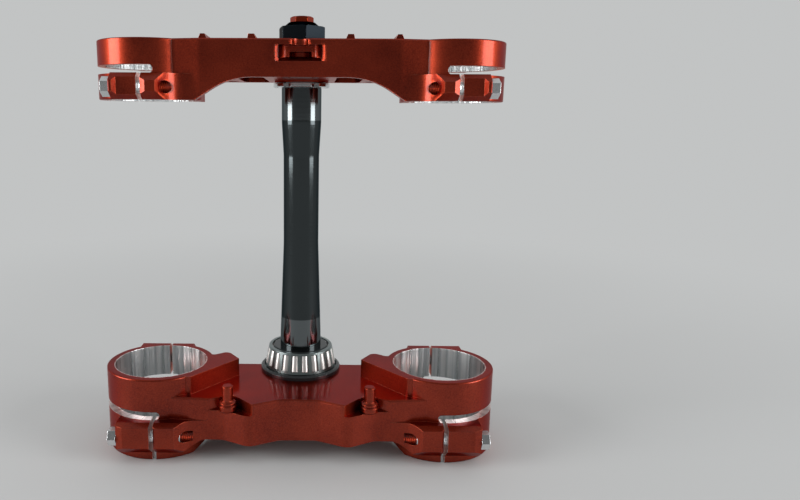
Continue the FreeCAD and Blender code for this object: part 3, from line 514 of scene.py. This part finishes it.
@shared(
    "Bolt holes",
    {
        "Radius": 0.0037, "Start": 0.066, "Front y": -0.0593, "Front z": 0.003,
        "Rear y": 0.0153, "Rear z": 0.028,
    },
    ("Hole",),
)
def hole_group(wires, given, result):
    """1 inside the pinch bolt holes, which run along the X axis and begin some way out."""
    skin, round_face = 0.00004, 0.1
    x, y, z = wires.position()
    holes = []
    for side in ("Front", "Rear"):
        across = wires.math("SUBTRACT", y, given[side + " y"])
        up = wires.math("SUBTRACT", z, given[side + " z"])
        holes.append(
            wires.below(wires.distance(across, up), wires.total(given["Radius"], skin))
        )
    wall = wires.below(wires.facing("X"), round_face)
    outside = wires.above(wires.math("ABSOLUTE", x), given["Start"])
    wires.put(result["Hole"], wires.all_of(wires.any_of(*holes), wall, outside))


def material(name):
    """A new material with its wires and its shader's sockets, joined to the output."""
    made = bpy.data.materials.new(name)
    made.use_nodes = True
    made.node_tree.nodes.clear()
    wires = Wires(made.node_tree)
    shader = wires.add("ShaderNodeBsdfPrincipled")
    wires.put(wires.add("ShaderNodeOutputMaterial").inputs["Surface"], shader.outputs[0])
    return made, wires, shader.inputs


def dress(made, *nodes):
    """Gives CAD nodes a finish, in the slots that they have."""
    for name in nodes:
        for slot in frame["nodes"][name].material_slots:
            slot.link = "OBJECT"
            slot.material = made


def sealed_metal(shader, finish):
    """The settings of the anodised coat that are the same all over."""
    shader["Metallic"].default_value = 1.0
    shader["Specular Tint"].default_value = (*finish.rim, 1.0)
    shader["Coat Roughness"].default_value = finish.gloss_roughness
    shader["Coat IOR"].default_value = finish.gloss_index


def anodised_colour(wires, finish, grain, wear_and_glint):
    """Colour of the red coat: its grain, its slow change over the part, and its edges, lighter
    partly from handling and partly as a painted highlight.
    """
    half, most_wear_and_glint = 0.5, 0.7
    dark_end, light_end = -0.9, 1.9
    tone = wires.total(wires.all_of(grain["Grain"], half), wires.all_of(grain["Cloud"], half))
    coat = wires.blend(wires.blend(tone, dark_end, light_end), finish.deep_grain_and_hole_shade, finish.coat)
    return wires.blend(wires.all_of(wear_and_glint, most_wear_and_glint), coat, finish.worn_and_glint)


def pin_finish(finish):
    """Satin red anodised aluminium under a clear sealed layer."""
    made, wires, shader = material("pin_finish")
    grain = wires.use(grain_group(), size=finish.grain)
    edges = wires.use(edge_group(), radius=finish.edge)
    sealed_metal(shader, finish)
    shader["Coat Weight"].default_value = finish.gloss
    wires.put(shader["Base Color"], anodised_colour(wires, finish, grain, edges["Wear and glint"]))
    satin = wires.spread(grain["Cloud"], finish.roughness, finish.roughness_spread)
    wires.put(shader["Roughness"], satin)
    height = wires.all_of(grain["Grain"], finish.grain_height)
    wires.put(shader["Normal"], wires.relief(height, edges["Normal"]))
    return made


def clamp_finish(which, finish, sizes):
    """Anodised all over, with the bore, the slot and the splits machined bare, painted reflection
    bands on the bare faces and painted shade in the bolt holes.
    """

    def own(size):
        return getattr(sizes, f"{which}_{size}")

    hole_shade, streak_range = 0.6, (0.35, 0.62)
    made, wires, shader = material(f"{which}_clamp_finish")
    grain = wires.use(grain_group(), size=finish.grain)
    edges = wires.use(edge_group(), radius=finish.edge)
    corners = wires.use(corner_group(), reach=own("corners"))
    marks = wires.use(
        turning_group(), axis_x=sizes.fork_x, axis_back=sizes.fork_back, bands=finish.bands
    )
    machined = wires.use(
        machined_group(), fork_x=sizes.fork_x, fork_back=sizes.fork_back, bore=own("bore"),
        ring=own("ring"), slot=own("slot"), slot_end=own("slot_end"), slot_half=sizes.slot_half,
        front_split=sizes.front_split, rear_split=sizes.rear_split,
    )
    (front_y, front_z), (rear_y, rear_z) = own("front_bolt"), own("rear_bolt")
    hole = wires.use(
        hole_group(), front_y=front_y, front_z=front_z, rear_y=rear_y, rear_z=rear_z
    )["Hole"]
    thread = wires.use(thread_group())["Thread"]
    bare = machined["Bare"]
    coated = wires.opposite(bare)
    sealed_metal(shader, finish)
    wires.put(shader["Coat Weight"], wires.all_of(coated, finish.gloss))

    # The lighter edges are partly rubbed coat and partly a painted highlight.
    coat = anodised_colour(wires, finish, grain, wires.all_of(edges["Wear and glint"], coated))
    # Painted shade: inside the bolt holes the coat is darkened by hole_shade towards the dark grain
    # colour.
    coat = wires.blend(wires.all_of(hole, hole_shade), coat, finish.deep_grain_and_hole_shade)
    # Painted reflection: the bare faces darken in bands round the fork axis.
    streaks = wires.smooth(marks["Bands"], streak_range, (0.0, 1.0))
    streaked = wires.blend(streaks, finish.band_reflection_colour, finish.bare)
    wires.put(shader["Base Color"], wires.blend(bare, coat, streaked))

    satin = wires.spread(grain["Cloud"], finish.roughness, finish.roughness_spread)
    bored = wires.spread(marks["Bands"], finish.bare_roughness, finish.bare_spread)
    difference = wires.math("SUBTRACT", bored, satin)
    wires.put(shader["Roughness"], wires.total(satin, wires.all_of(bare, difference)))

    height = wires.total(
        wires.all_of(marks["Bands"], machined["Bored"], finish.band_height),
        wires.all_of(marks["Rings"], bare, finish.ring_height),
        wires.all_of(grain["Grain"], coated, finish.grain_height),
        wires.all_of(thread, hole, finish.thread_height),
    )
    normal = wires.choose(corners["Corner"], edges["Normal"], corners["Normal"])
    wires.put(shader["Normal"], wires.relief(height, normal))
    return made


def metal(name, base, roughness, spread=0.05, edge=0.0002, bright=1.5, rim=1.0):
    """Plain metal with a fine grain, and edges made brighter by a factor: partly rubbed, partly a
    painted highlight that becomes a glint where the factor is large.
    """
    grain_size, grain_height = 0.0006, 0.000006
    darkest, brightest = 0.8, 0.95
    made, wires, shader = material(name)
    grain = wires.use(grain_group(), size=grain_size)
    edges = wires.use(edge_group(), radius=edge)
    darker = tuple(darkest * c for c in base)
    # Painted highlight: edges brightened by the factor bright, partly rubbed metal, and glints on
    # the black nut and cap.
    rubbed = tuple(min(brightest, bright * c) for c in base)
    tone = wires.blend(grain["Cloud"], darker, base)
    wires.put(shader["Base Color"], wires.blend(edges["Wear and glint"], tone, rubbed))
    shader["Metallic"].default_value = 1.0
    shader["Specular Tint"].default_value = (rim, rim, rim, 1.0)
    wires.put(shader["Roughness"], wires.spread(grain["Grain"], roughness, spread))
    height = wires.all_of(grain["Grain"], grain_height)
    wires.put(shader["Normal"], wires.relief(height, edges["Normal"]))
    return made


def stem_finish(finish):
    """Dark polished steel with a coated middle and fine turning rings."""
    smoothest, roughest, ring_height = 0.06, 0.17, 0.000004
    made, wires, shader = material("stem_finish")
    rings = wires.use(turning_group(), pitch=0.0009)["Rings"]
    edges = wires.use(edge_group(), radius=0.0003)
    centre = (finish.stem_high + finish.stem_low) / 2
    middle = wires.within(wires.position()[2], centre, finish.stem_high - centre)
    wires.put(shader["Base Color"], wires.blend(middle, finish.stem, finish.stem_dark))
    shader["Metallic"].default_value = 1.0
    shader["Specular Tint"].default_value = (*finish.stem_rim, 1.0)
    wires.put(shader["Roughness"], wires.blend(rings, smoothest, roughest))
    wires.put(shader["Normal"], wires.relief(wires.all_of(rings, ring_height), edges["Normal"]))
    return made


def rubber_finish(finish):
    """Black rubber, oiled to a dull shine."""
    smoothest, roughest, grain_height = 0.2, 0.34, 0.000008
    made, wires, shader = material("seal_finish")
    grain = wires.use(grain_group(), size=0.0005)
    edges = wires.use(edge_group(), radius=0.0004)
    wires.put(shader["Base Color"], wires.blend(grain["Cloud"], finish.rubber_deep, finish.rubber))
    wires.put(shader["Roughness"], wires.blend(grain["Grain"], smoothest, roughest))
    height = wires.all_of(grain["Grain"], grain_height)
    wires.put(shader["Normal"], wires.relief(height, edges["Normal"]))
    return made


def bolt_finish(finish):
    """Bright zinc, with a thread on the shank past its plain stretch."""
    darkest, smoothest, roughest, grain_height = 0.8, 0.16, 0.3, 0.000008
    made, wires, shader = material("bolt_finish")
    grain = wires.use(grain_group(), size=0.0008)
    edges = wires.use(edge_group(), radius=0.0004)
    darker = tuple(darkest * c for c in finish.zinc)
    wires.put(shader["Base Color"], wires.blend(grain["Cloud"], darker, finish.zinc))
    shader["Metallic"].default_value = 1.0
    wires.put(shader["Roughness"], wires.blend(grain["Grain"], smoothest, roughest))
    thread_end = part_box("upper_pinch_bolts")[1].x - finish.bolt_head - finish.bolt_plain
    threaded = wires.below(wires.math("ABSOLUTE", wires.position()[0]), thread_end)
    thread = wires.use(thread_group(), pitch=finish.thread)["Thread"]
    height = wires.total(
        wires.all_of(grain["Grain"], grain_height),
        wires.all_of(thread, threaded, finish.thread_height),
    )
    wires.put(shader["Normal"], wires.relief(height, edges["Normal"]))
    return made


class TRIPLECLAMP_OT_clamps(bpy.types.Operator):
    """Finish both clamps in red anodise with bare machined bores, slots and splits"""

    bl_idname = "tripleclamp.clamps"
    bl_label = "Clamps"

    def execute(self, context):
        scene = context.scene
        for which in ("lower", "upper"):
            made = clamp_finish(which, scene.anodised_finish, scene.clamp_sizes)
            dress(made, f"{which}_clamp")
        return {"FINISHED"}


class TRIPLECLAMP_OT_stem(bpy.types.Operator):
    """Finish the steering stem in dark polished steel with brighter ground seats"""

    bl_idname = "tripleclamp.stem"
    bl_label = "Steering Stem"

    def execute(self, context):
        dress(stem_finish(context.scene.steel_finish), "steering_stem")
        return {"FINISHED"}


class TRIPLECLAMP_OT_bearing(bpy.types.Operator):
    """Finish the lower bearing's cone, rollers and cage"""

    bl_idname = "tripleclamp.bearing"
    bl_label = "Lower Bearing"

    def execute(self, context):
        finish = context.scene.steel_finish
        rollers = metal("roller_finish", finish.roller, roughness=0.4, spread=0.06)
        cage = metal(
            "cage_finish", finish.cage, roughness=0.3, spread=0.06, edge=0.00015, bright=3.0
        )
        cone = metal("cone_finish", finish.stem_dark, roughness=0.16)
        dress(rollers, "bearing_rollers")
        dress(cage, "bearing_cage")
        dress(cone, "bearing_cone")
        return {"FINISHED"}


class TRIPLECLAMP_OT_seal(bpy.types.Operator):
    """Finish the dust seal, its washer and the adjuster's ring"""

    bl_idname = "tripleclamp.seal"
    bl_label = "Dust Seal"

    def execute(self, context):
        finish = context.scene.steel_finish
        dress(rubber_finish(finish), "dust_seal")
        dress(metal("washer_finish", finish.cage, roughness=0.3), "seal_washer", "lock_ring")
        return {"FINISHED"}


class TRIPLECLAMP_OT_head(bpy.types.Operator):
    """Finish the stem nut, its washer, the cap and its bolt, and the adjuster nut"""

    bl_idname = "tripleclamp.head"
    bl_label = "Stem Head"

    def execute(self, context):
        finish = context.scene.steel_finish
        # The black nut's and cap's edges are brightened many times over: painted glints.
        nut = metal(
            "nut_finish", finish.nut, roughness=0.3, spread=0.06, edge=0.0004, bright=14.0, rim=0.3
        )
        cap = metal("cap_finish", finish.nut, roughness=0.14, edge=0.0005, bright=8.0, rim=0.25)
        cap_bolt = metal(
            "cap_bolt_finish", finish.cap_bolt, roughness=0.32, spread=0.06, edge=0.0004, bright=1.6
        )
        adjuster = metal(
            "adjuster_finish", finish.aluminium, roughness=0.15, spread=0.07, edge=0.0003,
            bright=1.1,
        )
        dress(nut, "stem_nut", "stem_nut_washer")
        dress(cap, "nut_cap")
        dress(cap_bolt, "cap_bolt")
        dress(adjuster, "adjuster_nut")
        return {"FINISHED"}


class TRIPLECLAMP_OT_bolts(bpy.types.Operator):
    """Finish the eight pinch bolts in bright zinc"""

    bl_idname = "tripleclamp.bolts"
    bl_label = "Pinch Bolts"

    def execute(self, context):
        made = bolt_finish(context.scene.steel_finish)
        dress(made, "lower_pinch_bolts", "upper_pinch_bolts")
        return {"FINISHED"}


class TRIPLECLAMP_OT_pins(bpy.types.Operator):
    """Finish the two guide pins and their collars in red anodise"""

    bl_idname = "tripleclamp.pins"
    bl_label = "Guide Pins"

    def execute(self, context):
        made = pin_finish(context.scene.anodised_finish)
        dress(made, "left_guide_pin", "right_guide_pin", "left_pin_collar", "right_pin_collar")
        return {"FINISHED"}


class TRIPLECLAMP_OT_stage(bpy.types.Operator):
    """Set the floor, the lamps, the room and the camera"""

    bl_idname = "tripleclamp.stage"
    bl_label = "Studio Stage"

    def execute(self, context):
        stage = context.scene.stage_settings
        build_floor(stage)
        build_lamps(stage)
        build_room(stage)
        build_camera()
        return {"FINISHED"}


def seen_rays(wires):
    """1 for the rays that show the backdrop: the camera's, and those off metal or through glass."""
    path = wires.add("ShaderNodeLightPath").outputs
    return wires.any_of(path["Is Camera Ray"], path["Is Glossy Ray"], path["Is Transmission Ray"])


def build_floor(stage):
    """A pale floor that fades into the backdrop with distance."""
    low, reach = CAD_BOX[0].z, stage.reach
    grain_size, cloud_size, darkest, roughness = 0.004, 0.4, 0.96, 0.7
    mesh = bpy.data.meshes.new("studio_floor")
    sides = ((-reach, -reach), (reach, -reach), (reach, reach), (-reach, reach))
    mesh.from_pydata([(x, y, low) for x, y in sides], [], [(0, 1, 2, 3)])
    floor = bpy.data.objects.new("studio_floor", mesh)
    bpy.context.scene.collection.objects.link(floor)

    made, wires, shader = material("floor_finish")
    cloud = wires.use(grain_group(), size=grain_size, cloud=cloud_size)["Cloud"]
    darker = tuple(darkest * c for c in stage.floor)
    wires.put(shader["Base Color"], wires.blend(cloud, darker, stage.floor))
    shader["Roughness"].default_value = roughness
    away = wires.vector("LENGTH", wires.point())
    fade = wires.smooth(away, (stage.near, stage.far), (0.0, 1.0))
    backdrop = wires.add("ShaderNodeEmission")
    backdrop.inputs["Color"].default_value = (*stage.backdrop, 1.0)
    lit = shader["Base Color"].node.outputs[0]
    surface = lit.links[0].to_socket
    faded = wires.all_of(fade, seen_rays(wires))
    wires.put(surface, wires.layer(faded, lit, backdrop.outputs[0]))
    mesh.materials.append(made)


def build_lamps(stage):
    """A tall, wide light on each side of the part, where the photograph's highlights put them."""
    middle = Vector((0.0, -0.02, stage.strip_high / 2))
    area = stage.strip_wide * stage.strip_high
    for name, turn, brightness in (
        ("left_strip", -stage.strip_turn, stage.strip),
        ("right_strip", stage.strip_turn, stage.right_share * stage.strip),
    ):
        lamp = bpy.data.lights.new(name, "AREA")
        lamp.shape = "RECTANGLE"
        lamp.size, lamp.size_y = stage.strip_wide, stage.strip_high
        lamp.energy = brightness * math.pi * area
        away = Vector((math.sin(turn), -math.cos(turn), 0.0))
        holder = bpy.data.objects.new(name, lamp)
        holder.location = middle + stage.strip_away * away
        holder.rotation_euler = (-away).to_track_quat("-Z", "Y").to_euler()
        bpy.context.scene.collection.objects.link(holder)


def build_room(stage):
    """A soft bright ceiling that lights the part, and the pale backdrop where it is seen.

    What metal shows of the backdrop gets darker towards the wall behind the camera.
    """
    front_to_side, wall_to_ceiling = (-0.85, 0.25), (0.3, 0.85)
    world = bpy.data.worlds.new("studio_room")
    bpy.context.scene.world = world
    world.use_nodes = True
    world.node_tree.nodes.clear()
    wires = Wires(world.node_tree)
    direction = wires.add("ShaderNodeTexCoord").outputs["Generated"]
    _, y, z = wires.fill(wires.add("ShaderNodeSeparateXYZ"), direction).outputs
    pale = sum(stage.backdrop) / 3
    shade = wires.smooth(y, front_to_side, (stage.front / pale, 1.0))
    brightness = wires.smooth(z, wall_to_ceiling, (wires.all_of(shade, pale), stage.ceiling))
    room = wires.add("ShaderNodeBackground")
    wires.put(room.inputs["Strength"], brightness)
    backdrop = wires.add("ShaderNodeBackground")
    backdrop.inputs["Color"].default_value = (*stage.backdrop, 1.0)
    direct = wires.add("ShaderNodeLightPath").outputs["Is Camera Ray"]
    wires.put(backdrop.inputs["Strength"], wires.any_of(direct, shade))
    mixed = wires.layer(seen_rays(wires), room.outputs[0], backdrop.outputs[0])
    wires.put(wires.add("ShaderNodeOutputWorld").inputs["Surface"], mixed)


def build_camera():
    """The camera where the photographer's stood, tilted down, with the frame moved to the right."""
    eye = (0.00913, -0.45312, 0.20083)
    tilt, turn, roll = 0.1953, -0.0105, -0.0061
    nearest, furthest = 0.01, 50.0
    ahead = Vector(
        (math.sin(turn) * math.cos(tilt), math.cos(turn) * math.cos(tilt), -math.sin(tilt))
    )
    level_right = Vector((math.cos(turn), -math.sin(turn), 0.0))
    level_down = ahead.cross(level_right)
    right = math.cos(roll) * level_right + math.sin(roll) * level_down
    down = -math.sin(roll) * level_right + math.cos(roll) * level_down

    camera = bpy.data.cameras.new("photo_camera")
    camera.sensor_width = SENSOR_MM
    camera.lens = FOCAL_PX * SENSOR_MM / PHOTO_WIDTH_PX
    camera.shift_x = (PHOTO_WIDTH_PX / 2 - SIGHT_X_PX) / PHOTO_WIDTH_PX
    camera.clip_start, camera.clip_end = nearest, furthest
    holder = bpy.data.objects.new("photo_camera", camera)
    holder.matrix_world = (
        Matrix.Translation(eye) @ Matrix((right, -down, -ahead)).transposed().to_4x4()
    )
    bpy.context.scene.collection.objects.link(holder)
    bpy.context.scene.camera = holder
    bpy.context.scene.view_settings.view_transform = "Standard"


OPERATORS = (
    TRIPLECLAMP_OT_clamps,
    TRIPLECLAMP_OT_stem,
    TRIPLECLAMP_OT_bearing,
    TRIPLECLAMP_OT_seal,
    TRIPLECLAMP_OT_head,
    TRIPLECLAMP_OT_bolts,
    TRIPLECLAMP_OT_pins,
    TRIPLECLAMP_OT_stage,
)
SETTINGS = {
    "clamp_sizes": ClampSizes,
    "anodised_finish": AnodisedFinish,
    "steel_finish": SteelFinish,
    "stage_settings": StageSettings,
}


class TRIPLECLAMP_PT_panel(bpy.types.Panel):
    """The steps of the triple clamp's finishing"""

    bl_idname = "TRIPLECLAMP_PT_panel"
    bl_label = "Triple Clamp"
    bl_space_type = "VIEW_3D"
    bl_region_type = "UI"
    bl_category = "Triple Clamp"

    def draw(self, context):
        for operator in OPERATORS:
            self.layout.operator(operator.bl_idname)


def register():
    for thing in (*SETTINGS.values(), *OPERATORS, TRIPLECLAMP_PT_panel):
        bpy.utils.register_class(thing)
    for name, settings in SETTINGS.items():
        setattr(bpy.types.Scene, name, PointerProperty(type=settings))


def unregister():
    for name in SETTINGS:
        delattr(bpy.types.Scene, name)
    for thing in (TRIPLECLAMP_PT_panel, *reversed(OPERATORS), *reversed(SETTINGS.values())):
        bpy.utils.unregister_class(thing)


def main():
    """Runs every step in order."""
    register()
    for operator in OPERATORS:
        step = getattr(bpy.ops.tripleclamp, operator.bl_idname.split(".")[1])
        if step() != {"FINISHED"}:
            raise RuntimeError(f"{operator.bl_label} did not finish")


if __name__ == "__main__":
    main()
